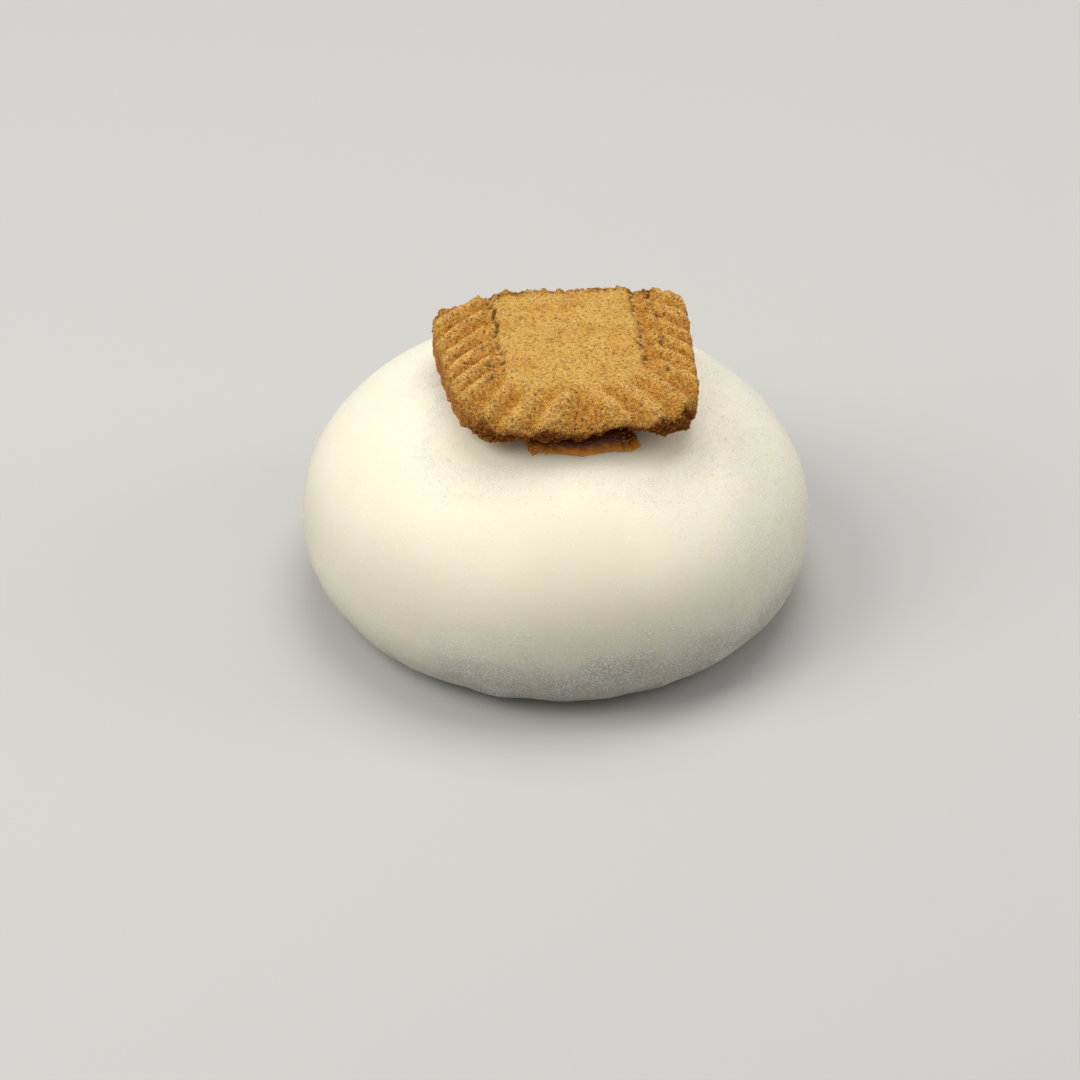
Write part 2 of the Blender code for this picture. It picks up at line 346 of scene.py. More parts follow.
def dust_cover(points):
    """How thickly starch lies, from 0 to 1, before the speckle.

    It lies in a patchy band above the foot, over the right side, and in a ring round the biscuit that the hand
    setting it down has left, and is rubbed thin on the front and the left.
    """
    x, y, z = points[..., 0], points[..., 1], points[..., 2]
    patches = noise(points, 9.0 * MM, 31, octaves=3)
    foot = smooth(16.5 * MM, 4.5 * MM, z + 3.0 * MM * patches) * (0.3 + 0.7 * smooth(-20 * MM, -11 * MM, x))
    right = smooth(4 * MM, 26 * MM, x + 7 * MM * patches) * smooth(3 * MM, 9 * MM, z)
    from_x = np.maximum(np.abs(x - RING_MIDDLE[0]) - RING_HALF[0], 0)
    from_y = np.maximum(np.abs(y - RING_MIDDLE[1]) - RING_HALF[1], 0)
    from_biscuit = np.hypot(from_x, from_y)
    ring = smooth(13.5 * MM, 6.5 * MM, from_biscuit + 2.5 * MM * patches) * smooth(18 * MM, 24 * MM, z)
    ring *= 0.3 + 0.7 * smooth(3.5 * MM, 6.0 * MM, from_biscuit + 1.5 * MM * patches)
    ring *= 0.55 + 0.45 * smooth(-4 * MM, 8 * MM, np.abs(x - 1.0 * MM) - 3 * MM)
    behind = 0.42 * smooth(0.0, 22 * MM, y + 5 * MM * patches)
    sparse = 0.05 + 0.05 * smooth(-0.2, 0.8, patches)
    return np.clip(np.maximum.reduce([0.95 * foot, 0.5 * right, 0.55 * ring, behind, sparse]), 0.0, 1.0)


def hand_shaping(points, angle):
    """How far the skin stands out from the smooth body: the soft swells of shaping it by hand, and shallow pleats
    where the dough was gathered under, which fade out above the foot."""
    z = points[..., 2]
    swell = 0.16 * MM * noise(points, 15.0 * MM, 3, octaves=2) * smooth(0.2 * MM, 5 * MM, z)
    swell *= smooth(29 * MM, 25 * MM, z)
    around = np.stack([np.cos(angle) * 3.1, np.sin(angle) * 3.1, z * 25.0], axis=-1)
    pleats = noise(around, 0.5, 11, octaves=2)
    low = smooth(8.0 * MM, 2.0 * MM, z) * smooth(0.0, 1.2 * MM, z)
    return swell + 0.2 * MM * low * pleats


def rice_dough(settings):
    """Steamed glutinous rice dough, kneaded and dusted with potato starch.

    The dough is a smooth, slightly glossy gel that light sinks into, so it looks soft and creamy. The starch is a
    dry white powder in clumps of about 0.2 mm, which dulls the skin and gives it a fine frosty speckle: each cell
    of a cellular pattern holds a clump where its random number is below the share that is covered.
    """
    made, tree, shader = new_material(
        "starch_dusted_rice_dough",
        Subsurface_Weight=0.5,
        Subsurface_Radius=(1.0, 0.82, 0.55),
        Subsurface_Scale=0.0028,
        IOR=1.42,
        Specular_IOR_Level=0.4,
        Sheen_Weight=0.05,
        Sheen_Roughness=0.6,
    )
    place = add_node(tree, "ShaderNodeTexCoord").outputs["Object"]
    cover = add_node(tree, "ShaderNodeAttribute", attribute_name="dust").outputs["Fac"]
    drift = add_node(tree, "ShaderNodeTexNoise", {"Vector": place, "Scale": 1 / (1.7 * MM), "Detail": 3.0})
    span = {"Value": drift.outputs["Fac"], "From Min": 0.3, "From Max": 0.7, "To Min": 0.25}
    patchy = add_node(tree, "ShaderNodeMapRange", span).outputs["Result"]
    covered = add_node(tree, "ShaderNodeMath", {0: cover, 1: patchy}, operation="MULTIPLY").outputs[0]
    cells = add_node(tree, "ShaderNodeTexVoronoi", {"Vector": place, "Scale": 1 / STARCH_CELL})
    chance = add_node(tree, "ShaderNodeSeparateColor", {"Color": cells.outputs["Color"]}).outputs["Red"]
    clump = add_node(tree, "ShaderNodeMath", {0: covered, 1: chance}, operation="GREATER_THAN").outputs[0]
    span = {"Value": cells.outputs["Distance"], "From Min": 0.2, "From Max": 0.62, "To Min": 1.0, "To Max": 0.0}
    rounded = add_node(tree, "ShaderNodeMapRange", span).outputs["Result"]
    powder = add_node(tree, "ShaderNodeMath", {0: clump, 1: rounded}, operation="MULTIPLY").outputs[0]
    cloud = add_node(tree, "ShaderNodeTexNoise", {"Vector": place, "Scale": 1 / (14 * MM), "Detail": 2.0})
    layers = (
        (cloud.outputs["Fac"], 0.3, 0.7, 1.0, tuple(0.95 * part for part in settings.dough)),
        # Where starch lies thick the moist dough between its clumps is darker, partly its own tone and partly
        # painted shade between lit grains.
        (cover, 0.4, 1.0, 0.9, tuple(settings.damp_and_grain_shade)),
        (powder, 0.0, 0.8, 1.0, tuple(settings.dust)),
    )
    tree.links.new(tinted(tree, settings.dough, layers), shader.inputs["Base Color"])
    dulled = add_node(tree, "ShaderNodeMapRange", {"Value": covered, "To Min": 0.45, "To Max": 0.8})
    tree.links.new(dulled.outputs["Result"], shader.inputs["Roughness"])
    bump = add_node(tree, "ShaderNodeBump", {"Strength": 0.5, "Distance": 0.08 * MM, "Height": powder})
    tree.links.new(bump.outputs["Normal"], shader.inputs["Normal"])
    return made


class MOCHI_OT_skin(bpy.types.Operator):
    """Build the mochi's skin"""

    bl_idname = "mochi.skin"
    bl_label = "Mochi Skin"

    def execute(self, context):
        sizes = context.scene.mochi
        turns = np.arange(MOCHI_COLUMNS) * 2.0 * math.pi / MOCHI_COLUMNS
        shares = np.linspace(0.0, 1.0, MOCHI_ROWS + 1)[:-1]
        share, angle = np.meshgrid(shares, turns, indexing="ij")
        points = mochi_point(angle, share, sizes)
        facing = normals_of(points, wrap=True)
        shaped = points + facing * hand_shaping(points, angle)[..., None]
        shaped[..., 2] = np.maximum(shaped[..., 2], 0.0)
        flat = shaped.reshape(-1, 3)
        count = len(flat)
        crown = np.array([[LEAN * (sizes.height - sizes.equator), 0.0, sizes.seat]])
        flat = np.vstack([flat, crown])
        last = (MOCHI_ROWS - 1) * MOCHI_COLUMNS
        tip = [[last + i, last + (i + 1) % MOCHI_COLUMNS, count] for i in range(MOCHI_COLUMNS)]
        base = [list(range(MOCHI_COLUMNS))[::-1]]
        faces = round_faces(MOCHI_ROWS, MOCHI_COLUMNS).tolist() + tip + base
        dust = dust_cover(flat)
        add_piece("mochi_skin", flat, faces, rice_dough(sizes), "mochi", {"dust": dust})
        return {"FINISHED"}


def starch_powder(settings):
    """Dry potato starch: a matt white powder, so each clump scatters all the light that falls on it."""
    made, tree, shader = new_material("dry_starch", Roughness=0.9, IOR=1.45, Specular_IOR_Level=0.3)
    place = add_node(tree, "ShaderNodeTexCoord").outputs["Object"]
    vary = add_node(tree, "ShaderNodeTexNoise", {"Vector": place, "Scale": 1 / (0.7 * MM), "Detail": 1.0})
    layers = ((vary.outputs["Fac"], 0.35, 0.7, 1.0, tuple(0.9 * part for part in settings.dust)),)
    tree.links.new(tinted(tree, settings.dust, layers), shader.inputs["Base Color"])
    return made


def starch_places(sizes, count, share_of, rng):
    """Places and facings on the skin for that many grains, chosen by area and by a share from 0 to 1 at each."""
    tries = count * 14
    angle = rng.uniform(0.0, 2.0 * math.pi, tries)
    share = rng.uniform(0.03, 0.94, tries)
    points = mochi_point(angle, share, sizes)
    step = 1e-3
    along = mochi_point(angle, share + step, sizes) - mochi_point(angle, share - step, sizes)
    around = mochi_point(angle + step, share, sizes) - mochi_point(angle - step, share, sizes)
    facing = np.cross(around, along)
    area = np.linalg.norm(facing, axis=1)
    facing /= np.maximum(area, 1e-15)[:, None]
    weight = area / area.max() * share_of(points)
    order = rng.uniform(size=tries) ** (1.0 / np.maximum(weight, 1e-9))
    kept = np.argsort(order)[-count:]
    return points[kept] + facing[kept] * hand_shaping(points[kept], angle[kept])[:, None], facing[kept]


class MOCHI_OT_starch(bpy.types.Operator):
    """Scatter fine starch grains over the skin, and clumps of them where the starch lies thickest"""

    bl_idname = "mochi.starch"
    bl_label = "Starch Grains"

    def execute(self, context):
        sizes = context.scene.mochi
        rng = np.random.default_rng(5)
        powder = starch_powder(sizes)

        def fine_share(points):
            patches = smooth(-0.6, 0.6, noise(points, 1.4 * MM, 71, octaves=3))
            return dust_cover(points) ** 1.6 * patches

        def clump_share(points):
            patches = smooth(-0.35, 0.75, noise(points, 2.6 * MM, 73, octaves=3))
            low = smooth(17 * MM, 11 * MM, points[:, 2])
            return dust_cover(points) ** 1.5 * patches * (0.08 + 0.92 * low)

        four, eight = (TETRAHEDRON, TETRAHEDRON_FACES), (OCTAHEDRON, OCTAHEDRON_FACES)
        kinds = (
            ("fine_starch", sizes.fine_starch, fine_share, four, (0.05, 0.09), 0.3),
            ("starch_clumps", sizes.clumps, clump_share, eight, (0.06, 0.11), 0.55),
        )
        for name, count, share_of, (solid, faces), (least, most), lift in kinds:
            places, facings = starch_places(sizes, count, share_of, rng)
            shape = solid[None] * rng.uniform(0.7, 1.3, (count, len(solid), 1))
            radius = rng.uniform(least, most, count) * MM
            size = radius[:, None] * rng.uniform(0.8, 1.2, (count, 3)) * [1.0, 1.0, lift]
            spin = rng.uniform(0.0, 2.0 * math.pi, count)
            verts, tris = scattered(shape, faces, places, facings, size, spin)
            add_piece(name, verts, tris, powder)
        return {"FINISHED"}


# --- Biscuit --------------------------------------------------------------------------------------

BISCUIT_GRID = 300  # points along each side of the square that is wrapped over the biscuit
TAPER = 0.035
LEFT_FLARE = 0.09
BREAK_SLANT = -0.06
CORNER_CUTS = {"front_left": 0.18, "front_right": 0.12, "back_right": 0.13, "back_left": 0.14}
RIM_ROUNDING = 1.1 * MM
BREAK_ROUNDING = 0.25 * MM  # the broken edge is sharp
FOOT_ROUNDING = 0.5 * MM
UNDERSIDE_REACH = 3.2 * MM
PANEL_HALF_WIDTH = 8.5 * MM
PANEL_FRONT = -7.6 * MM
PANEL_CORNER = 4.5 * MM
PATTERN_SHIFT = 0.6 * MM  # the mould's pattern sits a little to the right
RIB_HEIGHT = 1.4 * MM
SIDE_RIBS = 6
SIDE_RIB_PITCH = 3.45 * MM
SIDE_RIB_WIDTH = 0.95 * MM
FRONT_RIB_PITCH = 4.5 * MM
FRONT_RIB_WIDTH = 1.35 * MM
GROOVE_WIDTH = 0.38 * MM
GROOVE_DEPTH = 0.65 * MM
PAD_CENTRE = (-0.8 * MM, 9.8 * MM)  # a plain raised bar across the panel, near the break
PAD_HALF = (4.6 * MM, 1.3 * MM)
SHELF_DEPTH = 1.0 * MM  # what has crumbled away from under the front rim, up to this far from the middle
SHELF_END = 12.0 * MM
BITES = ((-6.8 * MM, 1.2 * MM, 3.0 * MM), (4.9 * MM, 2.2 * MM, 2.4 * MM))  # centre, depth, half width


def biscuit_plan(across, along, sizes):
    """The biscuit's outline filled from a square: each side gives way to its corners as a high power."""
    left, front = across < 0, along < 0
    cuts = CORNER_CUTS
    cut = np.where(
        front,
        np.where(left, cuts["front_left"], cuts["front_right"]),
        np.where(left, cuts["back_left"], cuts["back_right"]),
    )
    power = 0.96 / cut
    flare = np.where(left, LEFT_FLARE, TAPER)
    x = sizes.half_width * across * (1.0 - cut * np.abs(along) ** power) * (1.0 + flare * along)
    y = sizes.half_length * along * (1.0 - cut * np.abs(across) ** power)
    y = y + np.where(front, 0.0, BREAK_SLANT * x * along)
    return x, y


def panel_distance(x, y):
    """Distance outside the plain panel, an oblong with rounded front corners that the break cuts at the back."""
    dx = np.abs(x - 0.5 * PATTERN_SHIFT) - PANEL_HALF_WIDTH + PANEL_CORNER
    dy = PANEL_FRONT + PANEL_CORNER - y
    outside = np.hypot(np.maximum(dx, 0.0), np.maximum(dy, 0.0))
    return outside + np.minimum(np.maximum(dx, dy), 0.0) - PANEL_CORNER


def rib_lines():
    """Outer end, run and width of each rib's crest in plan, right half: side, then corner, then front.

    All lean inwards and towards the break, and the left half mirrors them.
    """
    side = [
        (14.0 * MM, 10.4 * MM - SIDE_RIB_PITCH * i, -3.5 * MM, 3.0 * MM, SIDE_RIB_WIDTH)
        for i in range(SIDE_RIBS)
    ]
    corner = [(11.6 * MM, -10.6 * MM, -4.2 * MM, 6.2 * MM, 1.1 * MM)]
    front = [(FRONT_RIB_PITCH * (i + 1), -13.4 * MM, -3.9 * MM, 5.8 * MM, FRONT_RIB_WIDTH) for i in range(2)]
    return side + corner + front


def rib_relief(x, y):
    """Height of the border's ribs, 0 to 1: the highest of soft ridges, each a bell curve across its line."""
    relief = np.zeros_like(x)
    for mirror in (-1.0, 1.0):
        for i, (start_x, start_y, run_x, run_y, width) in enumerate(rib_lines()):
            from_x = mirror * (x - PATTERN_SHIFT) - start_x
            share = (from_x * run_x + (y - start_y) * run_y) / (run_x * run_x + run_y * run_y)
            share = np.clip(share, -0.6, 1.0)
            off = np.hypot(from_x - share * run_x, y - start_y - share * run_y)
            height = 1.0 - 0.14 * ((3 * i + (mirror > 0)) % 3)
            relief = np.maximum(relief, height * np.exp(-((off / width) ** 2)))
    return relief


def biscuit_face(x, y, sizes):
    """Height of the moulded upper side over the underside, the border's share, the ribs and the crevices.

    The panel is flat, with a low bar near the break. Round it the border falls a little to the rim and
    carries the ribs. A broken groove parts the two along both sides, another runs down the right border,
    and there is a pocket between each two ribs of the sides.
    """
    flat = np.stack([x, y, np.zeros_like(x)], axis=-1)
    outside = panel_distance(x, y)
    border = smooth(-0.4 * MM, 1.6 * MM, outside)
    relief = rib_relief(x, y)
    height = sizes.thickness - 0.3 * MM - border * (RIB_HEIGHT - 0.3 * MM)
    height -= 0.5 * MM * smooth(2.0 * MM, 7.5 * MM, outside) * smooth(9.5 * MM, 4.0 * MM, y)
    height += border * RIB_HEIGHT * relief
    wander = 0.4 * MM * noise(flat, 1.8 * MM, 93, octaves=3)
    broken = np.clip(0.7 + 0.8 * noise(flat, 0.9 * MM, 91, octaves=2), 0.0, 1.25)
    groove = np.exp(-(((outside - 0.3 * MM + wander) / GROOVE_WIDTH) ** 2)) * smooth(-6.0 * MM, -1.0 * MM, y)
    second = np.exp(-(((x - 11.9 * MM + 0.05 * y + wander) / GROOVE_WIDTH) ** 2)) * smooth(-6 * MM, 0 * MM, y)
    crevice = np.maximum(broken * groove, 0.8 * broken * second)
    for mirror in (-1.0, 1.0):
        for i in range(SIDE_RIBS):
            from_x = mirror * (x - PATTERN_SHIFT) - 10.9 * MM
            from_y = y - 10.9 * MM + SIDE_RIB_PITCH * (i + 0.5)
            across, along = 0.65 * from_x + 0.76 * from_y, 0.76 * from_x - 0.65 * from_y
            near = np.hypot(across / (0.5 * MM), along / (0.9 * MM))
            crevice = np.maximum(crevice, 0.75 * broken * np.exp(-(near**2)))
    height -= GROOVE_DEPTH * crevice
    pad = smooth(0.0, 1.0 * MM, PAD_HALF[0] - np.abs(x - PAD_CENTRE[0]))
    pad *= smooth(0.0, 1.0 * MM, PAD_HALF[1] - np.abs(y - PAD_CENTRE[1]))
    height += 0.25 * MM * pad
    height -= 0.9 * MM * smooth(-10.5 * MM, -14.6 * MM, y) ** 2
    return height, np.maximum(border, 0.6 * pad), relief, crevice


def wall_profile(rounding, sizes):
    """Distance out from the middle and depth below the top, along a line over the biscuit's side.

    It runs across the top, round the rim by that radius, down the wall, round the foot and in underneath.
    """
    half = 0.5 * (sizes.half_width + sizes.half_length)
    bend = np.linspace(0.0, 0.5 * math.pi, 12)
    rim_out = half - rounding + rounding * np.sin(bend)
    rim_down = rounding * (1.0 - np.cos(bend))
    foot_out = half - FOOT_ROUNDING * (1.0 - np.cos(bend))
    foot_down = sizes.thickness - FOOT_ROUNDING * (1.0 - np.sin(bend))
    outward = np.concatenate([[0.0], rim_out, foot_out, [half - UNDERSIDE_REACH]]) / half
    downward = np.concatenate([[0.0], rim_down, foot_down, [sizes.thickness]]) / sizes.thickness
    steps = np.hypot(np.diff(outward) * half, np.diff(downward) * sizes.thickness)
    run = np.concatenate([[0.0], np.cumsum(steps)])
    return run, outward, downward


def wrapped_biscuit(sizes):
    """The biscuit as one square sheet wrapped over it, as rows and columns of points.

    The distance of a point from the sheet's middle, measured in squares, is a length along the wall's profile,
    which has a sharper rim at the break. Returns the points and, for each, how far down the wall it is (0 at the
    rim, 1 at the foot), the border's share, the ribs' relief, the crevices, and how near it is to the break.
    """
    side = np.linspace(-1.0, 1.0, BISCUIT_GRID)
    v, u = np.meshgrid(side, side, indexing="ij")
    square = np.maximum(np.abs(u), np.abs(v))
    at_break = smooth(0.62, 0.92, v / square)
    out, down = np.zeros_like(u), np.zeros_like(u)
    for rounding, share in ((RIM_ROUNDING, 1.0 - at_break), (BREAK_ROUNDING, at_break)):
        run, outward, downward = wall_profile(rounding, sizes)
        out += share * np.interp(square * run[-1], run, outward)
        down += share * np.interp(square * run[-1], run, downward)
    across, along = u / square * out, v / square * out
    x, y = biscuit_plan(across, along, sizes)
    face_height, border, relief, crevice = biscuit_face(x, y, sizes)
    z = face_height * (1.0 - down)
    front = smooth(-6.5 * MM, -9.5 * MM, y)
    low = smooth(0.25, 0.95, down)
    hollow = low * (0.4 * MM + SHELF_DEPTH * smooth(SHELF_END, SHELF_END - 4 * MM, np.abs(x)))
    for centre, depth, half_width in BITES:
        hollow += smooth(0.2, 0.7, down) * depth * np.exp(-(((x - centre) / half_width) ** 2))
    return np.stack([x, y + front * hollow, z], axis=-1), down, border, relief, crevice, along


def crumble(points, facing, down, border, relief, crevice, along):
    """Roughens the biscuit along its normals, and returns the new points and how deep in a pit or gap each one
    lies, which sets the painted shade there.

    The panel is fine sandy crumb, the ribs are coarser, and the front wall and the broken back are clusters of
    grains of half a millimetre to a millimetre and a half, with gaps between them.
    """
    y = points[..., 1]
    wall = smooth(0.05, 0.35, down)
    uneven = noise(points, 3.0 * MM, 5, octaves=2)
    front = smooth(-6.5 * MM, -12.0 * MM, y) * smooth(0.22, 0.45, down + 0.16 * uneven)
    back = smooth(0.88, 0.98, along + 0.04 * uneven)
    rough = np.clip(np.maximum(front, back), 0.0, 1.0)
    side = wall * (1.0 - rough)
    big, _ = grains(points, 1.7 * MM, 41)
    middle, which = grains(points, 0.85 * MM, 43)
    small, spot = grains(points, 0.42 * MM, 47)
    lumps = noise(points, 4.5 * MM, 13, octaves=2)
    sandy = noise(points, 0.55 * MM, 19, octaves=2)
    pit = (spot < 0.06) * smooth(0.5, 0.2, small) * (0.4 + 0.6 * border) * (1.0 - 0.6 * wall)
    out = 0.10 * lumps * (0.3 + border)
    out += wall * (1.0 - back) * 0.3 * (relief - 0.5)
    out += rough * (0.8 * (0.45 - big) + 0.65 * (0.45 - middle) + 0.16 * (0.45 - small))
    out += (1.0 - rough) * border * 0.16 * (0.45 - middle)
    out += (1.0 - rough) * (0.07 + 0.05 * border) * (0.45 - small)
    out += (0.03 + 0.03 * border + 0.05 * rough) * sandy + side * 0.06 * lumps
    out -= 0.34 * pit
    flaw = smooth(0.86, 0.98, which) * border * (1.0 - rough)
    out -= 0.12 * flaw
    # Painted shade: the gaps between grains on the broken faces, the small hollows, the grooves and the edges of
    # the fine grains are darkened through this share.
    gaps = np.maximum(front, 0.5 * back) * np.maximum(smooth(0.35, 0.75, middle), smooth(0.45, 0.85, big))
    hollow = crevice * smooth(0.1, 0.6, crevice) * (1.0 - wall)
    depth = np.clip(0.7 * pit + gaps + 0.6 * hollow + 0.3 * smooth(0.5, 0.85, small), 0.0, 1.0)
    return points + facing * out[..., None] * MM, depth, np.clip(front + 0.3 * back, 0.0, 1.0), side


def placed_biscuit(points, sizes):
    """Turns and moves points from the biscuit's own plan to where it lies."""
    middle = 0.5 * (BISCUIT_LOW + BISCUIT_HIGH)
    c, s = math.cos(sizes.turn), math.sin(sizes.turn)
    x = c * points[..., 0] - s * points[..., 1] + middle.x + 0.2 * MM
    y = s * points[..., 0] + c * points[..., 1] + middle.y + 0.2 * MM
    return np.stack([x, y, points[..., 2] + BISCUIT_LOW.z], axis=-1)


def turned(facing, sizes):
    """Directions turned as the biscuit is."""
    c, s = math.cos(sizes.turn), math.sin(sizes.turn)
    x = c * facing[..., 0] - s * facing[..., 1]
    y = s * facing[..., 0] + c * facing[..., 1]
    return np.stack([x, y, facing[..., 2]], axis=-1)


def biscuit_surface(sizes):
    """The finished biscuit's points, facings and fields, as grids."""
    points, down, border, relief, crevice, along = wrapped_biscuit(sizes)
    facing = normals_of(points, wrap=False)
    rugged, depth, broken, side = crumble(points, facing, down, border, relief, crevice, along)
    rugged[..., 2] = np.maximum(rugged[..., 2], 0.0)
    # Shares of colour: painted shade in the hollows between the ribs, and painted light on the ribs' crests.
    trough_shade = border * (1.0 - relief) * (1.0 - broken)
    crest = border * relief * (1.0 - broken)
    fields = {"pit_shade_and_tone": depth, "border": border, "trough_shade": trough_shade, "crest": crest, "broken": broken, "side": side}
    return rugged, facing, fields, down


def spiced_biscuit(settings):
    """Caramelised spice biscuit, pressed in a mould and baked dry.

    A matt, sandy crumb: paler and finer on the pressed panel, browner on the ribs, redder on the wall that met the
    mould, with golden sugar and specks of cinnamon through it. Grains are about 0.3 mm. Its pores, grooves, the
    gaps between grains and the hollows between the ribs are darkened as painted shade, and the ribs' crests are
    made paler as painted light.
    """
    made, tree, shader = new_material("spiced_biscuit_crumb", IOR=1.45, Specular_IOR_Level=0.2)
    place = add_node(tree, "ShaderNodeTexCoord").outputs["Object"]
    field = {
        name: add_node(tree, "ShaderNodeAttribute", attribute_name=name).outputs["Fac"]
        for name in ("pit_shade_and_tone", "border", "trough_shade", "crest", "broken", "side", "tint")
    }
    grain = add_node(tree, "ShaderNodeTexVoronoi", {"Vector": place, "Scale": 1 / (0.3 * MM)})
    chance = add_node(tree, "ShaderNodeSeparateColor", {"Color": grain.outputs["Color"]})
    patch = add_node(tree, "ShaderNodeTexNoise", {"Vector": place, "Scale": 1 / (2.6 * MM), "Detail": 4.0})
    sugary = add_node(tree, "ShaderNodeTexNoise", {"Vector": place, "Scale": 1 / (1.5 * MM), "Detail": 4.0})
    spice = add_node(tree, "ShaderNodeTexNoise", {"Vector": place, "Scale": 1 / (0.36 * MM), "Detail": 1.0})
    fine = add_node(tree, "ShaderNodeTexNoise", {"Vector": place, "Scale": 1 / (0.16 * MM), "Detail": 2.0})
    layers = (
        (field["border"], 0.1, 0.9, 0.75, tuple(settings.border)),
        # Painted shade in the hollows between the ribs, and painted light on their crests.
        (field["trough_shade"], 0.3, 0.95, 0.7, "#A86B26"),
        (field["crest"], 0.3, 0.95, 0.7, "#E0B36A"),
        (field["side"], 0.0, 1.0, 1.0, tuple(settings.baked)),
        (field["broken"], 0.0, 1.0, 1.0, tuple(settings.crumb)),
        (patch.outputs["Fac"], 0.42, 0.68, 0.45, "#BA7628"),
        (sugary.outputs["Fac"], 0.52, 0.7, 0.45, "#DCA73C"),
        (chance.outputs["Red"], 0.62, 1.0, 0.5, "#7A4A18"),
        (chance.outputs["Green"], 0.7, 1.0, 0.65, "#E2AA45"),
        (chance.outputs["Blue"], 0.85, 1.0, 0.4, "#E6C78C"),
        (field["tint"], 0.2, 1.0, 0.7, "#E8B65C"),
        (field["broken"], 0.0, 1.0, 0.6, "#7E3A06"),
        (spice.outputs["Fac"], 0.65, 0.74, 0.6, "#4B2A10"),
        # Painted shade in the small hollows, grooves and gaps; on loose grains and crumbs this gives a random
        # darker tone.
        (field["pit_shade_and_tone"], 0.05, 0.8, 0.85, "#3F1E08"),
    )
    tree.links.new(tinted(tree, settings.panel, layers), shader.inputs["Base Color"])
    span = {"Value": chance.outputs["Green"], "From Min": 0.8, "To Min": 0.85, "To Max": 0.4}
    tree.links.new(add_node(tree, "ShaderNodeMapRange", span).outputs["Result"], shader.inputs["Roughness"])
    inputs = {0: grain.outputs["Distance"], 1: -1.4, 2: fine.outputs["Fac"]}
    relief = add_node(tree, "ShaderNodeMath", inputs, operation="MULTIPLY_ADD").outputs[0]
    bump = add_node(tree, "ShaderNodeBump", {"Strength": 1.0, "Distance": 0.08 * MM, "Height": relief})
    tree.links.new(bump.outputs["Normal"], shader.inputs["Normal"])
    return made


class MOCHI_OT_biscuit(bpy.types.Operator):
    """Build the half biscuit with its ribs, panel and broken edges"""

    bl_idname = "mochi.biscuit"
    bl_label = "Biscuit"

    def execute(self, context):
        sizes = context.scene.biscuit
        points, _, fields, _ = biscuit_surface(sizes)
        placed = placed_biscuit(points, sizes).reshape(-1, 3)
        n = BISCUIT_GRID
        edge = list(range(n)) + list(range(2 * n - 1, n * n, n))
        edge += list(range(n * n - 2, n * (n - 1) - 1, -1)) + list(range(n * (n - 2), 0, -n))
        faces = sheet_faces(n, n).tolist() + [edge[::-1]]
        values = {name: field.ravel() for name, field in fields.items()}
        add_piece("biscuit_crumb", placed, faces, spiced_biscuit(sizes), "biscuit", values)
        return {"FINISHED"}


def icosahedron():
    """The 12 corners and 20 faces of an icosahedron of radius 1."""
    golden = 0.5 * (1.0 + math.sqrt(5.0))
    corners = [(0, a, b * golden) for a in (-1, 1) for b in (-1, 1)]
    corners += [(a, b * golden, 0) for a in (-1, 1) for b in (-1, 1)]
    corners += [(b * golden, 0, a) for a in (-1, 1) for b in (-1, 1)]
    corners = np.array(corners, dtype=float)
    near = np.linalg.norm(corners[:, None] - corners[None], axis=-1) < 2.1
    faces = []
    for i in range(12):
        for j in range(i + 1, 12):
            for k in range(j + 1, 12):
                if near[i, j] and near[j, k] and near[i, k]:
                    facing = np.cross(corners[j] - corners[i], corners[k] - corners[i])
                    outward = np.dot(facing, corners[i]) > 0
                    faces.append((i, j, k) if outward else (i, k, j))
    return corners / np.linalg.norm(corners[0]), np.array(faces)


def spread_cells(weight, count, rng):
    """Chooses that many cells of a grid with these weights, and where in each one its grain lies."""
    chosen = rng.choice(weight.size, count, replace=False, p=(weight / weight.sum()).ravel())
    rows, columns = np.unravel_index(chosen, weight.shape)
    return rows, columns, rng.uniform(size=(2, count, 1))


def between(grid, rows, columns, shares):
    """Values of a grid between its points, blended both ways."""
    values = grid if grid.ndim == 3 else grid[..., None]
    down, across = shares
    upper = values[rows, columns] * (1.0 - across) + values[rows, columns + 1] * across
    lower = values[rows + 1, columns] * (1.0 - across) + values[rows + 1, columns + 1] * across
    return upper * (1.0 - down) + lower * down


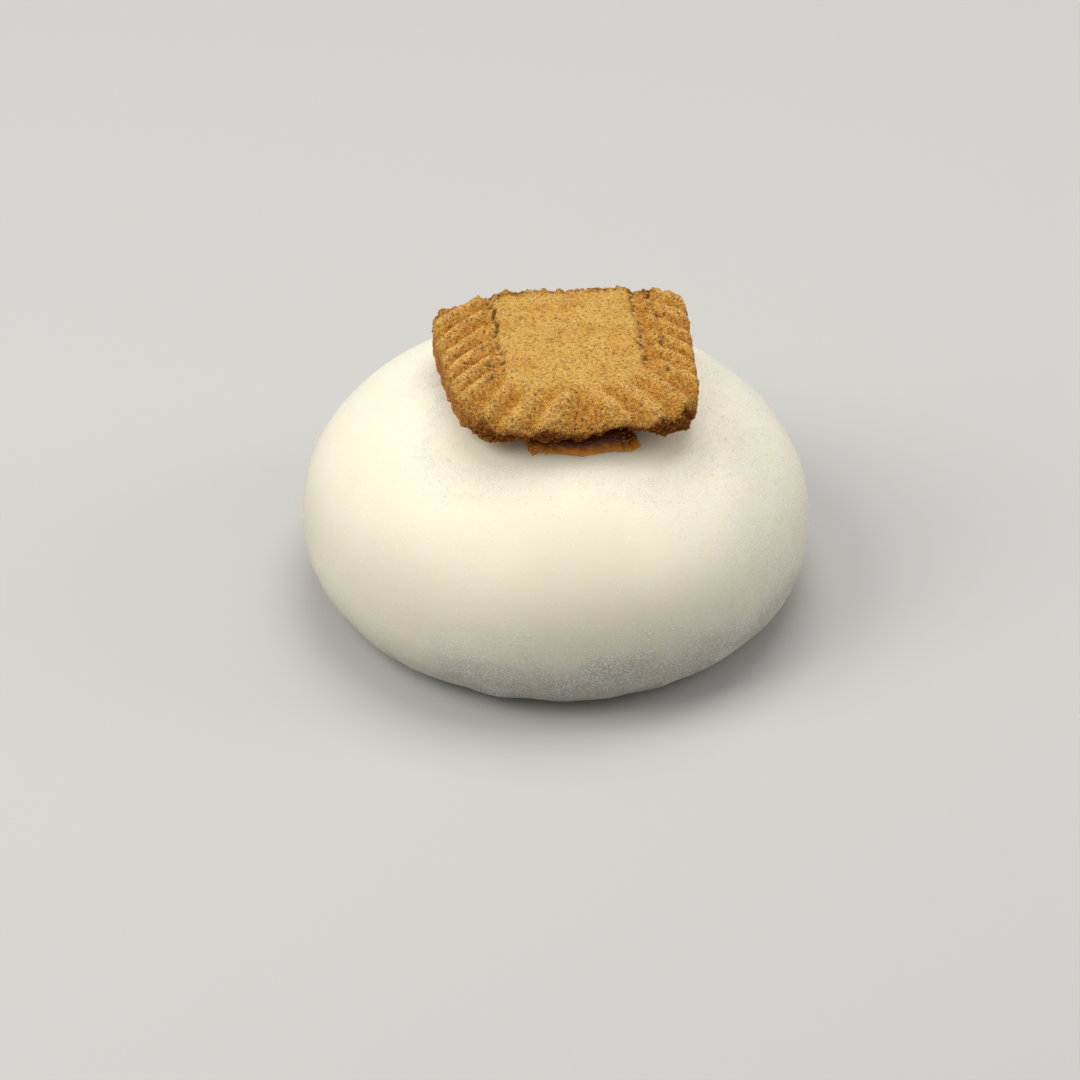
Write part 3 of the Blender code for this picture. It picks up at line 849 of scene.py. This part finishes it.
class MOCHI_OT_grains(bpy.types.Operator):
    """Cover the biscuit with the sandy grains that stand out of its crumb"""

    bl_idname = "mochi.grains"
    bl_label = "Crumb Grains"

    def execute(self, context):
        sizes = context.scene.biscuit
        rng = np.random.default_rng(3)
        points, facing, fields, down = biscuit_surface(sizes)
        weight = (0.7 + 0.3 * fields["border"] + 0.5 * fields["broken"]) * (down < 0.97)
        weight = (weight * (1.0 - 0.9 * fields["pit_shade_and_tone"]))[:-1, :-1]
        rows, columns, shares = spread_cells(weight, sizes.grains, rng)
        places = placed_biscuit(between(points, rows, columns, shares), sizes)
        facings = turned(facing[rows, columns], sizes) + rng.normal(0.0, 0.25, (sizes.grains, 3))
        facings /= np.linalg.norm(facings, axis=1, keepdims=True)
        coarse = between(fields["border"] * 0.5 + fields["broken"] * 0.5, rows, columns, shares)[:, 0]
        radius = (0.065 + 0.03 * coarse + 0.05 * rng.beta(1.5, 3.0, sizes.grains) * (1.0 + coarse)) * MM
        size = radius[:, None] * rng.uniform(0.75, 1.3, (sizes.grains, 3))
        size[:, 2] *= 0.55 + 0.4 * fields["broken"][rows, columns]
        shape = OCTAHEDRON[None] * rng.uniform(0.75, 1.3, (sizes.grains, 6, 1))
        spin = rng.uniform(0.0, 2.0 * math.pi, sizes.grains)
        verts, tris = scattered(shape, OCTAHEDRON_FACES, places, facings, size, spin)
        # These fields carry the painted shade between the ribs and the painted light on their crests to the
        # grains.
        names = ("border", "trough_shade", "crest", "broken", "side")
        values = {name: np.repeat(fields[name][rows, columns], 6) for name in names}
        # Grains in hollows take the painted shade there; the others get a random darker tone.
        sunk = 0.7 * fields["pit_shade_and_tone"][rows, columns]
        values["pit_shade_and_tone"] = np.repeat(np.maximum(sunk, 0.6 * rng.uniform(size=sizes.grains) ** 3), 6)
        paler = 1.0 - 0.5 * fields["broken"][rows, columns]
        values["tint"] = np.repeat(paler * rng.uniform(size=sizes.grains) ** 3, 6)
        material = bpy.data.materials["spiced_biscuit_crumb"]
        add_piece("crumb_grains", verts, tris, material, fields=values)
        return {"FINISHED"}


class MOCHI_OT_crumbs(bpy.types.Operator):
    """Stick loose crumbs over the broken faces and a few on top"""

    bl_idname = "mochi.crumbs"
    bl_label = "Crumbs"

    def execute(self, context):
        sizes = context.scene.biscuit
        rng = np.random.default_rng(8)
        points, facing, fields, down = biscuit_surface(sizes)
        weight = 0.03 + 0.12 * fields["border"] + 2.0 * fields["broken"] + 0.1 * fields["side"]
        weight = weight * (down < 0.99)
        weight = weight.ravel() / weight.sum()
        chosen = rng.choice(weight.size, sizes.crumbs, replace=False, p=weight)
        broken = fields["broken"].ravel()[chosen]
        places = placed_biscuit(points.reshape(-1, 3)[chosen], sizes)
        facings = turned(facing.reshape(-1, 3)[chosen], sizes)
        corners, faces = icosahedron()
        shape = corners[None] * rng.uniform(0.72, 1.28, (sizes.crumbs, 12, 1))
        radius = 0.09 + 0.16 * broken * rng.beta(1.6, 3.0, sizes.crumbs)
        radius = (radius + 0.05 * rng.uniform(size=sizes.crumbs)) * MM
        size = radius[:, None] * rng.uniform(0.75, 1.3, (sizes.crumbs, 3))
        spin = rng.uniform(0.0, 2.0 * math.pi, sizes.crumbs)
        verts, tris = scattered(shape, faces, places, facings, size, spin)
        values = {}
        for name in ("border", "broken", "side"):
            values[name] = np.repeat(fields[name].ravel()[chosen] * 0.9, 12)
        # A random darker tone for each crumb.
        values["pit_shade_and_tone"] = np.repeat(rng.uniform(0.0, 0.25, sizes.crumbs), 12)
        values["tint"] = np.repeat(rng.uniform(size=sizes.crumbs) ** 3, 12)
        material = bpy.data.materials["spiced_biscuit_crumb"]
        add_piece("loose_crumbs", verts, tris, material, fields=values)
        return {"FINISHED"}


def candy_sugar():
    """Half-melted candy sugar, in clear golden grains: one material for the biscuit and the caramel."""
    name = "melted_candy_sugar"
    if name in bpy.data.materials:
        return bpy.data.materials[name]
    made, tree, shader = new_material(
        name, Roughness=0.18, IOR=1.54, Subsurface_Weight=0.3, Subsurface_Scale=0.0004
    )
    place = add_node(tree, "ShaderNodeTexCoord").outputs["Object"]
    vary = add_node(tree, "ShaderNodeTexNoise", {"Vector": place, "Scale": 1 / (0.8 * MM), "Detail": 1.0})
    layers = ((vary.outputs["Fac"], 0.35, 0.65, 1.0, "#E9B44C"),)
    tree.links.new(tinted(tree, linear("#CF8620"), layers), shader.inputs["Base Color"])
    return made


class MOCHI_OT_sugar(bpy.types.Operator):
    """Set golden sugar grains into the biscuit"""

    bl_idname = "mochi.sugar"
    bl_label = "Sugar Grains"

    def execute(self, context):
        sizes = context.scene.biscuit
        rng = np.random.default_rng(12)
        points, facing, fields, down = biscuit_surface(sizes)
        flat = points.reshape(-1, 3)
        drift = smooth(-0.1, 0.5, noise(flat, 3.2 * MM, 61, octaves=2))
        weight = (0.25 + fields["border"].ravel() + fields["broken"].ravel()) * (down.ravel() < 0.9) * drift
        chosen = rng.choice(weight.size, sizes.sugar, replace=False, p=weight / weight.sum())
        places = placed_biscuit(flat[chosen], sizes)
        facings = turned(facing.reshape(-1, 3)[chosen], sizes) + rng.normal(0.0, 0.35, (sizes.sugar, 3))
        facings /= np.linalg.norm(facings, axis=1, keepdims=True)
        corners, faces = icosahedron()
        shape = corners[None] * rng.uniform(0.8, 1.2, (sizes.sugar, 12, 1))
        radius = rng.uniform(0.05, 0.11, sizes.sugar) * MM
        size = radius[:, None] * rng.uniform(0.8, 1.2, (sizes.sugar, 3))
        spin = rng.uniform(0.0, 6.28, sizes.sugar)
        verts, tris = scattered(shape, faces, places, facings, size, spin)
        add_piece("sugar_grains", verts, tris, candy_sugar())
        return {"FINISHED"}


# --- Caramel --------------------------------------------------------------------------------------

CARAMEL_COLUMNS = 320
CARAMEL_ROWS = 48
CARAMEL_POWER = 14.0
LIP_THICKNESS = 0.8 * MM
LIP_START = 0.84  # share of the way out where the smear thins into its lip
LIP_SUGAR = 120  # grains of sugar that stick out of the lip


def caramel_outline(angle):
    """The smear's edge: a squared-off oval whose front swells in the middle, ragged where it has run."""
    middle = 0.5 * (CARAMEL_LOW + CARAMEL_HIGH)
    half = 0.5 * (CARAMEL_HIGH - CARAMEL_LOW)
    c, s = np.cos(angle), np.sin(angle)
    power = 2.0 / CARAMEL_POWER
    x = (half.x - 0.1 * MM) * np.sign(c) * np.abs(c) ** power
    y = (half.y - 0.8 * MM) * np.sign(s) * np.abs(s) ** power
    y -= 0.55 * MM * np.exp(-((x / (2.4 * MM)) ** 2)) * (s < 0)
    along = np.stack([x, y, np.zeros_like(x)], axis=-1)
    lobes = 0.5 * MM * noise(along, 1.7 * MM, 21, octaves=2)
    lobes = lobes + 0.2 * MM * noise(along, 0.6 * MM, 22, octaves=2)
    return middle.x + x + lobes * c, middle.y + y + lobes * s + 0.03 * x


def caramel_glaze(settings):
    """Soft caramel: boiled sugar and cream, set to a clear glossy gel.

    Light passes through its thin lip, which glows amber, and is lost in the thicker part, a dark brown.
    """
    made, tree, shader = new_material(
        "soft_caramel",
        Roughness=0.16,
        IOR=1.49,
        Subsurface_Weight=0.4,
        Subsurface_Radius=(1.0, 0.42, 0.1),
        Subsurface_Scale=0.0012,
    )
    place = add_node(tree, "ShaderNodeTexCoord").outputs["Object"]
    thin = add_node(tree, "ShaderNodeAttribute", attribute_name="thin").outputs["Fac"]
    cloud = add_node(tree, "ShaderNodeTexNoise", {"Vector": place, "Scale": 1 / (0.9 * MM), "Detail": 4.0})
    inputs = {0: thin, 1: 1.2, 2: cloud.outputs["Fac"]}
    share = add_node(tree, "ShaderNodeMath", inputs, operation="MULTIPLY_ADD").outputs[0]
    layers = ((share, 0.9, 1.95, 1.0, tuple(settings.thin)),)
    tree.links.new(tinted(tree, settings.thick, layers), shader.inputs["Base Color"])
    wrinkle = add_node(tree, "ShaderNodeTexNoise", {"Vector": place, "Scale": 1 / (0.45 * MM), "Detail": 3.0})
    inputs = {"Strength": 0.9, "Distance": 0.14 * MM, "Height": wrinkle.outputs["Fac"]}
    bump = add_node(tree, "ShaderNodeBump", inputs)
    tree.links.new(bump.outputs["Normal"], shader.inputs["Normal"])
    return made


class MOCHI_OT_caramel(bpy.types.Operator):
    """Build the caramel smear, its lip and the grains of sugar in the lip"""

    bl_idname = "mochi.caramel"
    bl_label = "Caramel"

    def execute(self, context):
        sizes = context.scene.mochi
        turns = np.arange(CARAMEL_COLUMNS) * 2.0 * math.pi / CARAMEL_COLUMNS
        edge_x, edge_y = caramel_outline(turns)
        middle = 0.5 * (CARAMEL_LOW + CARAMEL_HIGH)
        half = CARAMEL_ROWS // 2
        out = np.sin(0.5 * math.pi * np.linspace(0.02, 1.0, half)) ** 0.8
        reach = np.concatenate([out, out[::-1]])[:, None]
        upper = np.arange(2 * half)[:, None] >= half
        x = middle.x + (edge_x[None] - middle.x) * reach
        y = middle.y + (edge_y[None] - middle.y) * reach
        skin = mochi_top(x, y, sizes)
        low = skin - 0.05 * MM
        bulge = np.sqrt(np.clip(1.0 - reach**26, 0.0, 1.0)) * (1.0 - 0.5 * smooth(LIP_START, 1.0, reach))
        flat = np.stack([x, y, np.zeros_like(x)], axis=-1)
        uneven = 1.0 + 0.3 * noise(flat, 1.9 * MM, 25, octaves=2) + 0.16 * noise(flat, 0.6 * MM, 26)
        thickness = LIP_THICKNESS * uneven
        under_biscuit = smooth(1.0, 0.72, reach)
        roof = low + thickness * bulge + under_biscuit * np.maximum(BISCUIT_LOW.z - low - thickness, 0.0)
        roof = np.minimum(roof, BISCUIT_LOW.z - 0.02 * MM)
        z = np.where(upper, np.maximum(roof, low + 0.01 * MM), low)
        points = np.stack([x, y, z], axis=-1).reshape(-1, 3)
        faces = round_faces(2 * half, CARAMEL_COLUMNS).tolist()
        first = list(range(CARAMEL_COLUMNS))[::-1]
        last = list(range((2 * half - 1) * CARAMEL_COLUMNS, 2 * half * CARAMEL_COLUMNS))
        fields = {"thin": smooth(LIP_START, 1.0, reach) * np.ones_like(x)}
        material = caramel_glaze(context.scene.caramel)
        add_piece("caramel_smear", points, faces + [first, last], material, "caramel", fields)

        rng = np.random.default_rng(21)
        seen = (upper & (reach > LIP_START) & (reach < 0.98) & (y < middle.y - 7 * MM)).ravel()
        chosen = rng.choice(np.flatnonzero(seen), LIP_SUGAR, replace=False)
        corners, grain_faces = icosahedron()
        shape = corners[None] * rng.uniform(0.75, 1.25, (LIP_SUGAR, 12, 1))
        size = rng.uniform(0.05, 0.12, (LIP_SUGAR, 1)) * rng.uniform(0.8, 1.2, (LIP_SUGAR, 3)) * MM
        facings = rng.normal(0.0, 0.4, (LIP_SUGAR, 3)) + [0.0, 0.0, 1.0]
        facings /= np.linalg.norm(facings, axis=1, keepdims=True)
        turns = rng.uniform(0.0, 2.0 * math.pi, LIP_SUGAR)
        verts, tris = scattered(shape, grain_faces, points[chosen], facings, size, turns)
        add_piece("caramel_sugar", verts, tris, candy_sugar())
        return {"FINISHED"}


# --- Stage ----------------------------------------------------------------------------------------

VIEW_ELEVATION = math.radians(35.0)
VIEW_ROLL = math.radians(1.713)
VIEW_DISTANCE = 0.75
VIEW_LENS = 198.07
AIM_HEIGHT = 14.1 * MM
AIM_OFFSET = (-1.86 * MM, -6.68 * MM)  # right and up, from the rice cake's middle to what the camera faces
LAMP_AIM = (0.0, 0.0, 0.015)
WORLD_STRENGTH = 0.42
FLOOR_REACH = 3.0
FLOOR_BOUNCE = 0.5  # the floor sends back this share of the light, so that shadows keep their depth


def add_lamp(name, position, target, width, depth, power, tint):
    """A rectangular lamp at a position, facing a target."""
    lamp = bpy.data.lights.new(name, "AREA")
    lamp.shape = "RECTANGLE"
    lamp.size = width
    lamp.size_y = depth
    lamp.energy = power
    lamp.color = tint
    made = bpy.data.objects.new(name, lamp)
    bpy.context.scene.collection.objects.link(made)
    aim = (Vector(target) - Vector(position)).to_track_quat("-Z", "Y")
    made.matrix_world = Matrix.Translation(position) @ aim.to_matrix().to_4x4()


class MOCHI_OT_stage(bpy.types.Operator):
    """Set up the floor, the lamps, the world and the camera"""

    bl_idname = "mochi.stage"
    bl_label = "Stage"

    def execute(self, context):
        scene = context.scene
        settings = scene.mochi_stage
        material, tree, shader = new_material("pale_floor", Roughness=0.9, Specular_IOR_Level=0.1)
        is_camera = add_node(tree, "ShaderNodeLightPath").outputs["Is Camera Ray"]
        unseen = tuple(FLOOR_BOUNCE * part for part in settings.floor)
        tone = tinted(tree, unseen, ((is_camera, 0.0, 1.0, 1.0, tuple(settings.floor)),))
        tree.links.new(tone, shader.inputs["Base Color"])
        mesh = bpy.data.meshes.new("floor")
        far = FLOOR_REACH
        mesh.from_pydata([(-far, -far, 0), (far, -far, 0), (far, far, 0), (-far, far, 0)], [], [(0, 1, 2, 3)])
        mesh.materials.append(material)
        floor = bpy.data.objects.new("floor", mesh)
        scene.collection.objects.link(floor)

        add_lamp("key", (-0.42, -0.12, 0.48), LAMP_AIM, 0.4, 0.4, settings.key_power, (1.0, 0.99, 0.97))
        add_lamp("top", (0.08, 0.16, 0.6), LAMP_AIM, 0.4, 0.4, settings.top_power, (1.0, 1.0, 1.0))
        add_lamp("fill", (0.55, 0.0, 0.3), LAMP_AIM, 0.3, 0.3, settings.fill_power, (1.0, 0.99, 0.97))
        world = bpy.data.worlds.new("studio")
        world.use_nodes = True
        background = world.node_tree.nodes["Background"]
        background.inputs["Color"].default_value = (0.97, 0.98, 1.0, 1.0)
        background.inputs["Strength"].default_value = WORLD_STRENGTH
        scene.world = world
        scene.view_settings.view_transform = "Standard"

        forward = Vector((0.0, math.cos(VIEW_ELEVATION), -math.sin(VIEW_ELEVATION)))
        right, up = Vector((1.0, 0.0, 0.0)), Vector((0.0, math.sin(VIEW_ELEVATION), math.cos(VIEW_ELEVATION)))
        rolled_right = math.cos(VIEW_ROLL) * right - math.sin(VIEW_ROLL) * up
        rolled_up = math.sin(VIEW_ROLL) * right + math.cos(VIEW_ROLL) * up
        centre = Vector((0.0, 0.0, AIM_HEIGHT))
        eye = centre - VIEW_DISTANCE * forward
        target = centre + AIM_OFFSET[0] * rolled_right + AIM_OFFSET[1] * rolled_up
        look = (target - eye).normalized()
        side = look.cross(rolled_up).normalized()
        top = side.cross(look)
        camera = bpy.data.objects.new("camera", bpy.data.cameras.new("camera"))
        camera.data.lens = VIEW_LENS
        camera.data.sensor_width = 36.0
        camera.data.clip_end = 20.0
        turn = Matrix((side, top, -look)).transposed()
        camera.matrix_world = Matrix.Translation(eye) @ turn.to_4x4()
        scene.collection.objects.link(camera)
        scene.camera = camera
        return {"FINISHED"}


class MOCHI_PT_panel(bpy.types.Panel):
    """Lists the pieces in the order they are built"""

    bl_idname = "MOCHI_PT_panel"
    bl_label = "Mochi Rice Cake"
    bl_space_type = "VIEW_3D"
    bl_region_type = "UI"
    bl_category = "Mochi"

    def draw(self, context):
        for operator in OPERATORS:
            self.layout.operator(operator.bl_idname)


OPERATORS = (
    MOCHI_OT_skin,
    MOCHI_OT_starch,
    MOCHI_OT_caramel,
    MOCHI_OT_biscuit,
    MOCHI_OT_grains,
    MOCHI_OT_crumbs,
    MOCHI_OT_sugar,
    MOCHI_OT_stage,
)
SETTINGS = {
    "mochi": MochiSettings,
    "biscuit": BiscuitSettings,
    "caramel": CaramelSettings,
    "mochi_stage": StageSettings,
}


def register():
    for name, group in SETTINGS.items():
        bpy.utils.register_class(group)
        setattr(bpy.types.Scene, name, PointerProperty(type=group))
    for made in (*OPERATORS, MOCHI_PT_panel):
        bpy.utils.register_class(made)


def unregister():
    for made in reversed((*OPERATORS, MOCHI_PT_panel)):
        bpy.utils.unregister_class(made)
    for name, group in SETTINGS.items():
        delattr(bpy.types.Scene, name)
        bpy.utils.unregister_class(group)


def main():
    register()
    bpy.ops.mochi.skin()
    bpy.ops.mochi.starch()
    bpy.ops.mochi.caramel()
    bpy.ops.mochi.biscuit()
    bpy.ops.mochi.grains()
    bpy.ops.mochi.crumbs()
    bpy.ops.mochi.sugar()
    bpy.ops.mochi.stage()


if __name__ == "__main__":
    main()
